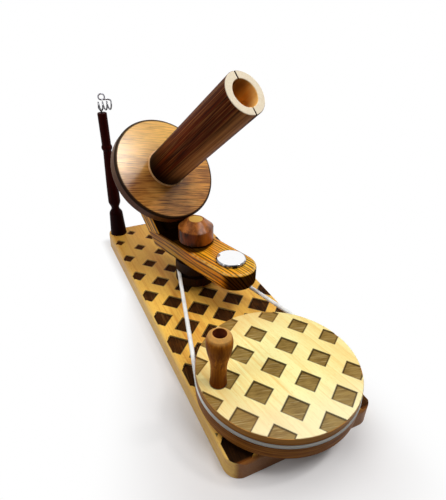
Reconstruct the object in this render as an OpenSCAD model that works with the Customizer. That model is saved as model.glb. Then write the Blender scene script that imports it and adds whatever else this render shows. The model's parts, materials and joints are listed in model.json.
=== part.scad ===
// Yarn ball winder: a crank wheel and belt carry a tilted bobbin round a fixed cone.
// The rim of the bobbin's flange rolls on the cone, so the bobbin also turns on itself.
// Millimetres, +Z up, origin at the centre of the base board's underside.
// +Y runs along the board, from the crank wheel to the yarn guide post.

/* [Base board] */
// Width of the board
base_w = 124; // [116:1:160]
// Length of the board
base_l = 355; // [350:1:420]
// Thickness of the board
base_t = 18; // [14:0.5:26]
// Radius of the board's corners in plan
base_corner_r = 12; // [6:1:20]
// Radius of the rounded top edges
base_edge_r = 4; // [1:0.5:6]

/* [Sunk squares] */
// Distance between neighbouring squares, centre to centre
square_pitch = 27.2; // [22:0.2:36]
// Side of the squares in the middle of the wheel
square_side = 14.8; // [10:0.2:18]
// How much smaller the wheel's squares are at its far right edge
square_shrink = 1.8; // [0:0.1:3]
// Depth of the squares
square_depth = 0.9; // [0.3:0.1:1.5]
// Side of the board's squares at its far end
far_square_side = 6.3; // [4:0.1:18]
// Side of the board's squares at its near end
near_square_side = 23.9; // [14:0.1:25]
// Distance of one square of the board's pattern from the board's left edge
square_from_side = 6.4; // [2:0.1:17]
// Distance of that square from the board's far end
square_from_end = 38.9; // [27:0.1:57]
// Turn of the wheel's pattern
wheel_square_turn = -53.7; // [-90:0.1:90]
// Place across the wheel of one square of the wheel's pattern
wheel_square_x = 39.3; // [30:0.1:45]
// Place along the wheel of that square
wheel_square_y = 31.5; // [20:0.1:40]

/* [Crank wheel] */
// Distance of the wheel's axis from the board's near end
wheel_inset = 45.9; // [37:0.1:52]
// Radius of the wheel
wheel_r = 63.6; // [58:0.1:66]
// Thickness of the wheel
wheel_t = 21.5; // [18:0.1:24]
// Space between the board and the wheel
wheel_gap = 4.0; // [3.6:0.1:8]
// Radius of the wheel's rounded edges
wheel_edge_r = 0.8; // [0.5:0.1:3]
// Radius of the steel axle
axle_r = 6; // [4:0.1:7]
// Depth of the axle's hole in the wheel
axle_socket = 14; // [10:0.5:16]
// Radius of the axle's collar
axle_collar_r = 14; // [11:0.5:18]
// Thickness of the bronze bush's flange
wheel_bush_flange_t = 2; // [1.5:0.1:2.5]
// Wall of the bronze bush
wheel_bush_wall = 3; // [2:0.1:4]
// Thickness of the clip under the board
clip_t = 1.5; // [1:0.1:2]

/* [Handle] */
// Distance of the handle from the wheel's axis
handle_throw = 49.5; // [45:0.1:54]
// Direction of the handle, seen from the wheel's axis
handle_turn = 176.4; // [150:0.1:200]
// Height of the handle
handle_h = 46.7; // [40:0.1:60]
// Radius of the bulb
bulb_r = 9.6; // [8.5:0.1:12]
// Radius of the waist
waist_r = 5.9; // [5.4:0.1:7]
// Radius of the foot
foot_r = 6.5; // [5.6:0.1:8]
// Radius of the hole in the top
handle_hole_r = 5; // [4.6:0.1:6]
// Depth of the hole in the top
handle_hole_depth = 14; // [8:0.5:18]
// Radius of the steel pin
pin_r = 3; // [2.5:0.1:3.5]
// Depth of the pin's hole in the wheel
pin_socket = 14; // [10:0.5:16]
// Thickness of the washer under the handle
handle_washer_t = 0.7; // [0.5:0.1:1.5]

/* [Belt] */
// Diameter of the round belt
belt_d = 3.8; // [3:0.1:5]
// Height of the belt above the wheel's underside
belt_rise = 12.5; // [8:0.1:13]
// Radius of the belt's centre line on the wheel
belt_wheel_r = 62.4; // [56:0.1:63]
// Radius of the belt's centre line on the pulley
belt_pulley_r = 18.8; // [16:0.1:24]

/* [Rotor] */
// Distance of the rotor's axis from the middle of the board
rotor_ahead = 31; // [20:0.1:40]
// Direction of the arm's weighted end
rotor_turn = -72; // [-90:0.5:-50]
// Space between the board and the arm
arm_clear = 29.6; // [26:0.1:34]
// Thickness of the arm
arm_t = 19.1; // [16:0.1:24]
// Width of the arm
arm_w = 40.6; // [38:0.1:46]
// Reach of the arm's weighted end
arm_reach = 77; // [70:0.1:84]
// Radius of the arm's rounded edges
arm_edge_r = 3.4; // [1:0.1:5.5]
// Radius of the steel shaft
shaft_r = 5; // [4.5:0.1:6]
// Radius of the shaft's head under the board
shaft_head_r = 10; // [8:0.5:13]
// Thickness of the shaft's head
shaft_head_t = 5; // [3:0.5:7]
// Thickness of the nut on the board
shaft_nut_t = 3.2; // [2.5:0.1:4]
// Radius of the pulley's two rims
pulley_r = 21.4; // [20.8:0.1:26]
// Wall of the rotor's and bobbin's bronze bushes
bush_wall = 3; // [2:0.1:3.4]
// Length of the rotor's bushes in the wood
bush_l = 14; // [8:0.5:16]
// Thickness of the bushes' flanges
bush_flange_t = 1.5; // [1:0.1:2]
// Distance of the weight from the rotor's axis
weight_out = 51; // [44:0.1:56]
// Radius of the weight
weight_r = 14.4; // [12:0.1:17]
// Height of the weight's rim
weight_rim_h = 3.4; // [1.5:0.1:5]
// Radius of the weight's rounded edge
weight_edge_r = 1.3; // [0.4:0.1:1.4]
// Height of the weight's dome
weight_dome_h = 1.1; // [0.6:0.1:6]
// Radius of the weight's stem
weight_stem_r = 9; // [6:0.1:11]
// Depth of the weight's stem in the arm
weight_stem_l = 13; // [8:0.1:14]

/* [Friction knob] */
// Radius of the knob
knob_r = 17.7; // [16:0.1:20]
// Radius of the knob's flat top
knob_top_r = 8.5; // [8:0.1:11]
// Height of the knob's straight side
knob_side_h = 14.7; // [12:0.1:20]
// Width of the turned line at the foot of the cone
knob_line = 0.8; // [0.4:0.1:1.2]
// Width of the rim round the pale plug in the top
plug_rim = 1.5; // [0.6:0.1:2]
// Thickness of the plug
plug_t = 3; // [2:0.1:4]

/* [Bobbin] */
// Tilt of the bobbin's axis from upright
bobbin_tilt = 49; // [44:0.1:52]
// Radius of the flange
flange_r = 54.0; // [48:0.1:58]
// Thickness of the flange
flange_t = 13; // [11:0.1:16]
// How far the flange's middle lies below the middle of the cone it rolls on
flange_drop = 1.5; // [0:0.1:2.5]
// Radius of the flange's rounded edges
flange_edge_r = 2.4; // [1:0.1:3]
// Length of the tube above the flange
tube_l = 137.0; // [100:0.1:150]
// Outer radius of the tube
tube_r = 18.9; // [17.5:0.1:22]
// Radius of the tube's bore
tube_bore_r = 11.8; // [11.4:0.1:13]
// Depth of the tube's spigot in the flange
spigot_l = 6; // [4:0.1:7]
// Wall of the tube's spigot
spigot_wall = 3; // [2:0.1:4]
// Width of the pale ring round the tube's foot
ring_w = 1.3; // [0.8:0.1:2.5]
// Height of the pale ring
ring_h = 1.2; // [0.6:0.1:2.5]
// Width of the two yarn slots in the tube's mouth
slot_w = 1.5; // [0.8:0.1:2]
// Depth of the yarn slots
slot_l = 12; // [6:0.5:18]
// Direction of the yarn slots
slot_turn = 2; // [-90:1:90]
// Length of the plug that holds the upper bush in the tube
hub_l = 30; // [20:0.5:40]

/* [Bobbin bracket] */
// Thickness of the slanted board
bracket_t = 17; // [14:0.1:22]
// Slope of the seat that the slanted board stands on
seat_slope = 12; // [0:0.5:20]
// Space between the flange and the slanted board
bracket_gap = 22; // [18:0.1:30]
// Radius of the steel spindle
spindle_r = 5; // [4.5:0.1:5.5]
// Radius of the wooden collar on the spindle
collar_r = 12; // [9:0.1:16]
// Thickness of the washer under the flange
thrust_t = 1.5; // [1:0.1:2.5]
// Thickness of the spindle's nuts
spindle_nut_t = 6; // [4:0.5:8]
// Distance of each bracket screw from the arm's centre line
bracket_screw_out = 12; // [8:0.5:14]

/* [Yarn guide] */
// Distance of the post from the board's left edge
post_from_side = 11.7; // [11:0.1:17]
// Distance of the post from the board's far end
post_from_end = 12.5; // [11.5:0.1:27]
// Lean of the post, away from the board's centre line
post_lean = 1.5; // [0:0.1:3]
// Height of the post
post_h = 150; // [130:0.5:170]
// Radius of the post's foot
post_foot_r = 9.75; // [8.5:0.05:11]
// Radius at the top of the foot
post_shoulder_r = 7.9; // [7:0.1:8.4]
// Height of the foot
post_foot_h = 28; // [20:0.5:32]
// Radius of the waist above the foot
post_cove_r = 4.65; // [4:0.05:5.5]
// Radius of the belly
post_belly_r = 7.2; // [6:0.1:8.4]
// Height of the belly above the foot
post_belly_up = 16.5; // [14:0.5:20]
// Radius of the neck
post_neck_r = 4.7; // [4:0.1:5.4]
// Height of the bead
post_bead_up = 111; // [100:0.5:118]
// Radius of the bead
post_bead_r = 5.9; // [5.6:0.1:7]
// Half height of the bead
post_bead_half = 3.4; // [2:0.1:5]
// Radius of the post's top
post_top_r = 5.15; // [4.5:0.05:5.5]
// Radius of the post's tenon
tenon_r = 5; // [4:0.1:6]
// Length of the post's tenon
tenon_l = 12; // [8:0.5:13]
// Diameter of the wire
wire_d = 1.7; // [1.4:0.1:2]
// Radius of the wire's coil
coil_r = 4.2; // [4:0.1:5.5]
// Advance of the coil in one turn
coil_pitch = 4.6; // [3:0.1:6]
// How far the coil starts to the left of the post's centre
coil_back = 2.8; // [1:0.1:4]
// Whole turns of the coil
coil_turns = 3; // [2:1:4]
// Radius of the curl at the wire's end
curl_r = 3.2; // [2.6:0.1:4.5]
// Depth of the wire in the post
wire_root = 14; // [8:0.5:24]

/* [Clearances] */
// Radial clearance of a fixed fit
fit = 0.05; // [0.02:0.01:0.1]
// Radial clearance of a running fit
run = 0.04; // [0.02:0.01:0.08]
// Gap between faces that pass each other
gap = 0.3; // [0.2:0.05:0.6]

/* [Hidden] */
$fn = 64;
past = 1; // how far a cut runs past a face

// Places on the board
wheel_back = base_l / 2 - wheel_inset;
post_out = base_w / 2 - post_from_side;
post_ahead = base_l / 2 - post_from_end;

// Heights above the floor
wheel_under = base_t + wheel_gap;
wheel_top = wheel_under + wheel_t;
belt_z = wheel_under + belt_rise;
arm_under = base_t + arm_clear;
arm_top = arm_under + arm_t;
pulley_under = base_t + shaft_nut_t + gap + bush_flange_t;
knob_under = arm_top + bush_flange_t + gap;
knob_edge = knob_under + knob_side_h;
knob_top = knob_edge + (knob_r - knob_top_r) / tan(bobbin_tilt);
handle_under = wheel_top + handle_washer_t + gap;
handle_floor = handle_under + handle_h - handle_hole_depth;
collar_under = base_t + wheel_bush_flange_t + gap;

// Fixings
belt_groove = belt_d / 2 + gap;
wheel_bush_r = axle_r + run + wheel_bush_wall;
clip_r = axle_r + 3;
clip_recess = clip_t + 2.7;
bush_r = shaft_r + run + bush_wall;
knob_stud_r = shaft_r - 2;
plug_r = knob_top_r - plug_rim;
knob_nut_t = 5;
knob_nut_r = plug_r - 0.3;
knob_floor = knob_top - plug_t - knob_nut_t - 1;
knob_step = knob_floor - 4;
pin_head_r = pin_r + 1.3;
pin_head_t = 2.5;
screw_r = 2.2;
screw_head_r = 4.2;
screw_head_t = 3.4;
pulley_screw_out = (bush_r + belt_pulley_r - belt_groove) / 2;
pulley_screw_bite = 12;
bracket_screw_bite = 24;

// The bobbin turns about a tilted axis that crosses the rotor's axis at cross_z.
// Places along it are counted from there, upwards.
cross_z = knob_top + (flange_r + gap + knob_top_r * cos(bobbin_tilt)) / sin(bobbin_tilt);
cone_from = -knob_top_r * sin(bobbin_tilt) - (cross_z - knob_top) * cos(bobbin_tilt);
cone_mid = cone_from - (knob_r - knob_top_r) / sin(bobbin_tilt) / 2;
flange_top = cone_mid - flange_drop + flange_t / 2;
flange_under = flange_top - flange_t;
tube_top = flange_top + tube_l;
spigot_r = tube_bore_r + spigot_wall;
spindle_bush_r = spindle_r + run + bush_wall;
hub_top = flange_top - spigot_l + hub_l;
hub_bush_l = 10;
thrust_under = flange_under - gap - thrust_t;
bracket_top = flange_under - bracket_gap;
bracket_under = bracket_top - bracket_t;
bracket_mid = (bracket_top + bracket_under) / 2;
spindle_nut_r = spindle_r + 4.8;
lock_r = spindle_r + 4;
spindle_end = hub_top + gap + spindle_nut_t + 1.5;

// Distances from the rotor's axis to the slanted board's two faces, at a height
function bracket_front(z) = (bracket_top - (z - cross_z) * cos(bobbin_tilt)) / sin(bobbin_tilt);
function bracket_back(z) = (bracket_under - (z - cross_z) * cos(bobbin_tilt)) / sin(bobbin_tilt);

// Place along the slanted board where its middle plane meets a height
function bracket_run(z) = (cross_z + bracket_mid * cos(bobbin_tilt) - z) / sin(bobbin_tilt);

// The board's seat falls outwards from the foot of its front face to its back face
seat_in = bracket_front(arm_top);
seat_out = (bracket_under - (arm_top - cross_z - seat_in * tan(seat_slope)) * cos(bobbin_tilt))
    / (sin(bobbin_tilt) + tan(seat_slope) * cos(bobbin_tilt));
seat_low = arm_top + (seat_out - seat_in) * tan(seat_slope);

bracket_screw_end = bracket_run(arm_under) - screw_head_r / tan(bobbin_tilt) - 0.5;
bracket_screw_seat = bracket_screw_end - screw_head_t;
bracket_screw_tip = bracket_run(arm_top) - bracket_screw_bite;

// Belt tangents
belt_span = rotor_ahead + wheel_back;
belt_lean = asin((belt_wheel_r - belt_pulley_r) / belt_span);

// A smooth step from a to b as t goes from 0 to 1
function ease(a, b, t) = a + (b - a) * (1 - cos(180 * min(max(t, 0), 1))) / 2;

// Frames
module on_wheel() translate([0, -wheel_back, 0]) children();
module on_handle() on_wheel() rotate(handle_turn) translate([handle_throw, 0, 0]) children();
module on_rotor() translate([0, rotor_ahead, 0]) rotate(rotor_turn) children();
module on_bobbin() on_rotor() translate([0, 0, cross_z]) rotate([0, bobbin_tilt, 0]) children();
module on_post_foot() translate([-post_out, post_ahead, base_t]) children();
module on_post() on_post_foot() rotate([0, -post_lean, 0]) children();

// A ring or washer from height z0 to z1
module ring(z0, z1, r_out, r_in) {
    difference() {
        translate([0, 0, z0]) cylinder(h = z1 - z0, r = r_out);
        translate([0, 0, z0 - past]) cylinder(h = z1 - z0 + 2 * past, r = r_in);
    }
}

// A round hole from height z0 to z1
module hole(z0, z1, r) translate([0, 0, z0]) cylinder(h = z1 - z0, r = r);

// A hexagon nut from height z0 to z1, r across its corners
module nut(z0, z1, r, bore_r) {
    difference() {
        translate([0, 0, z0]) cylinder(h = z1 - z0, r = r, $fn = 6);
        hole(z0 - past, z1 + past, bore_r);
    }
}

// A pan-head screw that points along +Z, with its head's end at the origin
module screw(l) {
    cylinder(h = screw_head_t, r = screw_head_r);
    translate([0, 0, screw_head_t]) cylinder(h = l, r = screw_r);
}

// Half the outline of a disc with rounded edges, for turning
module disc_half(r, t, edge) {
    square([r - edge, t]);
    translate([0, edge]) square([r, t - 2 * edge]);
    for (y = [edge, t - edge])
        translate([r - edge, y]) circle(edge);
}

// A rectangle on the X axis, w wide and h high, with rounded top corners
module round_top(w, h, r) {
    translate([-w / 2, 0]) square([w, h - r]);
    translate([r - w / 2, 0]) square([w - 2 * r, h]);
    for (x = [r - w / 2, w / 2 - r])
        translate([x, h - r]) circle(r);
}

// A rectangle with four rounded corners, centred
module round_rect(w, h, r) {
    square([w - 2 * r, h], center = true);
    square([w, h - 2 * r], center = true);
    for (x = [r - w / 2, w / 2 - r], y = [r - h / 2, h / 2 - r])
        translate([x, y]) circle(r);
}

// The groove of the round belt in a turned outline
module belt_groove_half(r) {
    translate([r, 0]) circle(belt_groove);
    translate([r, -belt_groove]) square([4 * belt_d, 2 * belt_groove]);
}

// One sunk square, with its floor at height 0
module sunk_square(side)
    translate([-side / 2, -side / 2, 0]) cube([side, side, square_depth + past]);

// Side of a square of the board at a distance from its far end
function base_square_side(from_end) =
    far_square_side + (near_square_side - far_square_side) * min(max(from_end / base_l, 0), 1);

// The board's squares stand on their corners, in rows that are shifted by half a step
module base_squares() {
    step = square_pitch / sqrt(2);
    columns = floor((base_w - square_from_side) / step);
    rows_up = ceil(square_from_end / step / 2);
    rows_down = floor((base_l - square_from_end) / step / 2);
    for (c = [0 : columns], k = [-rows_up : rows_down]) {
        from_end = square_from_end + (2 * k + c % 2) * step;
        translate([square_from_side + c * step - base_w / 2, base_l / 2 - from_end, base_t - square_depth])
            rotate(45) sunk_square(base_square_side(from_end));
    }
}

// The wheel's squares, on a turned square grid that runs off the rim
module wheel_squares() {
    span = ceil(2 * wheel_r / square_pitch);
    for (i = [-span : span], j = [-span : span]) {
        x = wheel_square_x + square_pitch * (i * cos(wheel_square_turn) - j * sin(wheel_square_turn));
        y = wheel_square_y + square_pitch * (i * sin(wheel_square_turn) + j * cos(wheel_square_turn));
        right = y * cos(wheel_square_turn) - x * sin(wheel_square_turn);
        if (norm([x, y]) < wheel_r + square_side / 2)
            translate([x, y, wheel_top - square_depth]) rotate(wheel_square_turn)
                sunk_square(square_side - square_shrink * right / wheel_r);
    }
}

module base_board() {
    color("burlywood")
    difference() {
        intersection() {
            linear_extrude(base_t) round_rect(base_w, base_l, base_corner_r);
            rotate([90, 0, 0]) linear_extrude(base_l + 2 * past, center = true)
                round_top(base_w, base_t, base_edge_r);
            rotate([90, 0, 90]) linear_extrude(base_w + 2 * past, center = true)
                round_top(base_l, base_t, base_edge_r);
        }
        base_squares();
        on_wheel() {
            hole(-past, base_t + past, wheel_bush_r + fit);
            hole(-past, clip_recess, clip_r + 2);
        }
        on_rotor() {
            hole(-past, base_t + past, shaft_r + fit);
            hole(-past, shaft_head_t + past, shaft_head_r + fit);
        }
        on_post_foot() hole(-tenon_l - gap, past, tenon_r + fit);
    }
}

// Flanged bush of the crank wheel, pressed into the board
module wheel_bush() {
    color("peru")
    on_wheel() difference() {
        union() {
            hole(clip_recess, base_t + past / 2, wheel_bush_r);
            hole(base_t, base_t + wheel_bush_flange_t, axle_collar_r);
        }
        hole(clip_recess - past, base_t + wheel_bush_flange_t + past, axle_r + run);
    }
}

// Fixed shaft with a round head in the board's underside and a stud for the knob
module rotor_shaft() {
    color("silver")
    on_rotor() {
        hole(past, shaft_head_t + past, shaft_head_r);
        hole(past, knob_step, shaft_r);
        hole(past, knob_floor + knob_nut_t, knob_stud_r);
    }
}

module shaft_nut() {
    color("gainsboro")
    on_rotor() ring(base_t, base_t + shaft_nut_t, bush_r + 2, shaft_r + fit);
}

// The fixed cone that the bobbin's flange rolls on
module friction_knob() {
    color("saddlebrown")
    on_rotor() difference() {
        rotate_extrude()
            polygon([
                [0, knob_under], [knob_r - 1, knob_under], [knob_r, knob_under + 1],
                [knob_r, knob_edge - knob_line], [knob_r - knob_line / 2, knob_edge - knob_line / 2],
                [knob_r, knob_edge], [knob_top_r, knob_top], [0, knob_top]
            ]);
        hole(knob_under - past, knob_step, shaft_r + fit);
        hole(knob_step - past, knob_top, knob_stud_r + fit);
        hole(knob_floor, knob_top + past, plug_r + fit);
    }
}

module knob_nut() {
    color("silver")
    on_rotor() nut(knob_floor, knob_floor + knob_nut_t, knob_nut_r, knob_stud_r + fit);
}

module knob_plug() {
    color("goldenrod")
    on_rotor() hole(knob_top - plug_t, knob_top, plug_r);
}

// Half the outline of the turned post, from its foot to its top
cove_up = post_foot_h + 7.5;
belly_up = post_foot_h + post_belly_up;
bead_foot = post_bead_up - post_bead_half;
bead_head = post_bead_up + post_bead_half;
turn_steps = 8;
post_outline = concat(
    [[0, -past], [post_foot_r, -past]],
    [for (i = [0 : turn_steps])
        let (t = i / turn_steps)
        [ease(post_shoulder_r, post_cove_r, t), post_foot_h + (cove_up - post_foot_h) * t]],
    [for (i = [1 : turn_steps])
        let (t = i / turn_steps)
        [ease(post_cove_r, post_belly_r, t), cove_up + (belly_up - cove_up) * t]],
    [for (i = [1 : turn_steps])
        let (t = i / turn_steps)
        [post_belly_r + (post_neck_r - post_belly_r) * pow(t, 1.3), belly_up + (bead_foot - belly_up) * t]],
    [for (i = [1 : turn_steps - 1])
        let (t = i / turn_steps)
        [post_neck_r + (post_top_r - post_neck_r) * t
            + (post_bead_r - post_neck_r) * sin(180 * t), bead_foot + 2 * post_bead_half * t]],
    [[post_top_r, bead_head], [post_top_r, post_h - 0.6], [post_top_r - 0.6, post_h], [0, post_h]]
);

module guide_post() {
    color("maroon")
    difference() {
        union() {
            intersection() {
                on_post() rotate_extrude() polygon(post_outline);
                on_post_foot() hole(0, 2 * post_h, 4 * post_foot_r);
            }
            on_post_foot() hole(-tenon_l, past, tenon_r);
        }
        on_post() hole(post_h - wire_root - gap, post_h + past, wire_d / 2 + fit);
    }
}

// The wire's centre line: a root that bends to the left, a coil that lies along X, a curl at its end
wire_steps = 12;
coil_z = post_h + coil_r + wire_d / 2 + 0.8;
curl_z = coil_z + coil_r + wire_d + 0.6 + curl_r;
curl_x = 2.4;
curl_y = coil_r + 1.6;
curl_shift = wire_d + 0.9;
coil_sweep = 360 * coil_turns + 90;
coil_end = [coil_pitch * coil_sweep / 360 - coil_back, coil_r, coil_z + coil_r];
curl_start = [curl_x, curl_y, curl_z - curl_r];
link_turn = [coil_end + [0.8, 5, 0.4], curl_start + [9, 0, 0]];

function link_point(t) =
    pow(1 - t, 3) * coil_end + 3 * pow(1 - t, 2) * t * link_turn[0]
    + 3 * (1 - t) * pow(t, 2) * link_turn[1] + pow(t, 3) * curl_start;

wire_line = concat(
    [[0, 0, post_h - wire_root], [0, 0, post_h - wire_root / 2]],
    [for (i = [0 : 4]) [ease(0, -coil_back, i / 5), 0, post_h + (coil_z - post_h) * i / 5]],
    [for (a = [0 : 360 / wire_steps : coil_sweep])
        [coil_pitch * a / 360 - coil_back, coil_r - coil_r * cos(a), coil_z + coil_r * sin(a)]],
    [for (i = [1 : wire_steps]) link_point(i / wire_steps)],
    [for (a = [360 / wire_steps : 360 / wire_steps : 330])
        [curl_x - curl_r * sin(a), curl_y - curl_shift * a / 360, curl_z - curl_r * cos(a)]]
);

// A round tube of six sides swept along a list of points
function unit(v) = v / norm(v);
function along(p, i) = unit(p[min(i + 1, len(p) - 1)] - p[max(i - 1, 0)]);
function square_to(n, t) = unit(n - t * (n * t));
function side_normals(p) = [
    for (i = 0, n = square_to([1, 0.2, 0.1], along(p, 0));
         i < len(p);
         i = i + 1, n = i < len(p) ? square_to(n, along(p, i)) : n) n
];

module swept_tube(p, r, sides = 6) {
    n = side_normals(p);
    points = [
        for (i = [0 : len(p) - 1], s = [0 : sides - 1])
            p[i] + r * (n[i] * cos(360 * s / sides) + cross(along(p, i), n[i]) * sin(360 * s / sides))
    ];
    last = (len(p) - 1) * sides;
    faces = concat(
        [for (i = [0 : len(p) - 2], s = [0 : sides - 1])
            [i * sides + s, (i + 1) * sides + s, (i + 1) * sides + (s + 1) % sides]],
        [for (i = [0 : len(p) - 2], s = [0 : sides - 1])
            [i * sides + s, (i + 1) * sides + (s + 1) % sides, i * sides + (s + 1) % sides]],
        [for (s = [1 : sides - 2]) [0, s, s + 1]],
        [for (s = [1 : sides - 2]) [last, last + s + 1, last + s]]
    );
    polyhedron(points, faces);
}

// Least gap of the wire to itself, measured between points half a turn or more apart
wire_apart = wire_steps / 2;
wire_gap = min([
    for (i = [0 : len(wire_line) - 1 - wire_apart], j = [i + wire_apart : len(wire_line) - 1])
        norm(wire_line[i] - wire_line[j])
]) - wire_d;
echo(str("Least gap of the wire guide to itself: ", wire_gap, " mm"));

module wire_guide() {
    color("silver")
    on_post() swept_tube(wire_line, wire_d / 2);
}

// One straight run of the belt, on the side that side_x gives.
// It is a hair thinner than the wraps, and its ends lie a little way inside them.
belt_slim = 0.03;
belt_lap = 0.5;
module belt_run(side_x) {
    from = belt_wheel_r * [side_x * cos(belt_lean), sin(belt_lean)];
    translate([from.x, from.y - wheel_back, belt_z])
        rotate(90 + side_x * belt_lean) rotate([0, 90, 0])
            translate([0, 0, -belt_lap])
                cylinder(h = belt_span * cos(belt_lean) + 2 * belt_lap, r = belt_d / 2 - belt_slim);
}

// One wrapped part of the belt
module belt_wrap(r, from, sweep) {
    translate([0, 0, belt_z]) rotate(from)
        rotate_extrude(angle = sweep) translate([r, 0]) circle(belt_d / 2);
}

module drive_belt() {
    color("white")
    union() {
        translate([0, -wheel_back, 0])
            belt_wrap(belt_wheel_r, 180 - belt_lean, 180 + 2 * belt_lean);
        translate([0, rotor_ahead, 0])
            belt_wrap(belt_pulley_r, belt_lean, 180 - 2 * belt_lean);
        for (side_x = [-1, 1])
            belt_run(side_x);
    }
}

module crank_wheel() {
    color("wheat")
    difference() {
        on_wheel() rotate_extrude() translate([0, wheel_under]) difference() {
            disc_half(wheel_r, wheel_t, wheel_edge_r);
            translate([0, belt_rise]) belt_groove_half(belt_wheel_r);
        }
        on_wheel() {
            wheel_squares();
            hole(wheel_under - past, wheel_under + axle_socket, axle_r + fit);
        }
        on_handle() hole(wheel_top - pin_socket, wheel_top + past, pin_r + fit);
    }
}

// Axle with the collar that carries the wheel
module wheel_axle() {
    color("silver")
    on_wheel() {
        hole(past, wheel_under + axle_socket - gap, axle_r);
        hole(collar_under, wheel_under, axle_collar_r);
    }
}

module axle_clip() {
    color("dimgray")
    on_wheel() ring(clip_recess - gap - clip_t, clip_recess - gap, clip_r, axle_r + fit);
}

module handle_pin() {
    color("silver")
    on_handle() {
        hole(wheel_top - pin_socket + gap, handle_floor + gap + past, pin_r);
        hole(handle_floor + gap, handle_floor + gap + pin_head_t, pin_head_r);
    }
}

module handle_washer() {
    color("gainsboro")
    on_handle() ring(wheel_top, wheel_top + handle_washer_t, foot_r, pin_r + fit);
}

// Radius of the handle at a share of its height
waist_at = 0.32;
bulb_at = 0.82;
brim_r = handle_hole_r + 0.9;
function handle_r(u) =
    u < 0.12 ? ease(foot_r, waist_r, u / 0.12)
    : u < bulb_at ? ease(waist_r, bulb_r, (u - waist_at) / (bulb_at - waist_at))
    : brim_r + (bulb_r - brim_r) * sqrt(1 - pow((u - bulb_at) / (1 - bulb_at), 2));

module crank_handle() {
    color("peru")
    on_handle() difference() {
        rotate_extrude() translate([0, handle_under]) polygon(concat(
            [[0, 0]],
            [for (i = [0 : 24]) [handle_r(i / 24), handle_h * i / 24]],
            [[0, handle_h]]
        ));
        hole(handle_under - past, handle_floor + past, pin_r + run);
        hole(handle_floor, handle_under + handle_h + past, handle_hole_r);
    }
}

// Horizontal arm: weight at one end, the slanted board on the other.
// Its weighted end is turned about arm_end, with the same rounded edges as its sides.
arm_end = arm_reach - arm_w / 2;
module rotor_arm() {
    color("peru")
    difference() {
        on_rotor() {
            intersection() {
                rotate([90, 0, 0]) linear_extrude(arm_w + 2 * past, center = true)
                    polygon([
                        [bracket_back(arm_under), arm_under], [arm_end, arm_under],
                        [arm_end, arm_top], [seat_in, arm_top], [seat_out, seat_low]
                    ]);
                rotate([90, 0, 90]) linear_extrude(4 * arm_reach, center = true)
                    translate([0, (arm_under + arm_top) / 2]) round_rect(arm_w, arm_t, arm_edge_r);
            }
            translate([arm_end, 0, arm_under]) rotate(-90)
                rotate_extrude(angle = 180) disc_half(arm_w / 2, arm_t, arm_edge_r);
        }
        on_rotor() {
            hole(arm_under - past, arm_top + past, shaft_r + 1);
            hole(arm_top - bush_l, arm_top + past, bush_r + fit);
            translate([weight_out, 0, 0])
                hole(arm_top - weight_stem_l - gap, arm_top + past, weight_stem_r + fit);
            for (x = [-pulley_screw_out, pulley_screw_out])
                translate([x, 0, 0]) hole(arm_under - past, arm_under + pulley_screw_bite, screw_r + fit);
        }
        bracket_screw_holes();
    }
}

// Turned pulley under the arm
module rotor_pulley() {
    color("saddlebrown")
    on_rotor() difference() {
        rotate_extrude() difference() {
            translate([0, pulley_under]) disc_half(pulley_r, arm_under - pulley_under, 1);
            translate([0, belt_z]) belt_groove_half(belt_pulley_r);
        }
        hole(pulley_under - past, arm_under + past, shaft_r + 1);
        hole(pulley_under - past, pulley_under + bush_l, bush_r + fit);
        for (x = [-pulley_screw_out, pulley_screw_out])
            translate([x, 0, 0]) {
                hole(pulley_under - past, arm_under + past, screw_r + fit);
                hole(pulley_under - past, pulley_under + screw_head_t + 0.6, screw_head_r + fit);
            }
    }
}

module pulley_screws() {
    color("gray")
    on_rotor() for (x = [-pulley_screw_out, pulley_screw_out])
        translate([x, 0, pulley_under + 0.6])
            screw(arm_under + pulley_screw_bite - pulley_under - screw_head_t - 0.6 - gap);
}

// A flanged bush of the rotor: the flange lies outside the wood
module rotor_bush(face, dir) {
    on_rotor() translate([0, 0, face]) mirror([0, 0, dir > 0 ? 0 : 1]) difference() {
        union() {
            hole(-bush_l, past / 2, bush_r);
            hole(0, bush_flange_t, bush_r + 2);
        }
        hole(-bush_l - past, bush_flange_t + past, shaft_r + run);
    }
}

module lower_bush() {
    color("peru") rotor_bush(pulley_under, -1);
}

module upper_bush() {
    color("peru") rotor_bush(arm_top, 1);
}

// Domed metal weight that balances the bobbin
dome_foot_r = weight_r - weight_edge_r;
dome_r = (pow(dome_foot_r, 2) + pow(weight_dome_h, 2)) / (2 * weight_dome_h);
module counterweight() {
    color("silver")
    on_rotor() translate([weight_out, 0, arm_top]) {
        rotate_extrude() {
            square([weight_r, weight_rim_h - weight_edge_r]);
            square([dome_foot_r, weight_rim_h]);
            translate([dome_foot_r, weight_rim_h - weight_edge_r]) circle(weight_edge_r);
            intersection() {
                translate([0, weight_rim_h + weight_dome_h - dome_r]) circle(dome_r, $fn = 128);
                translate([0, weight_rim_h - 0.2]) square([dome_foot_r, weight_dome_h + past]);
            }
        }
        hole(-weight_stem_l, 0.1, weight_stem_r);
    }
}

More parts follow.
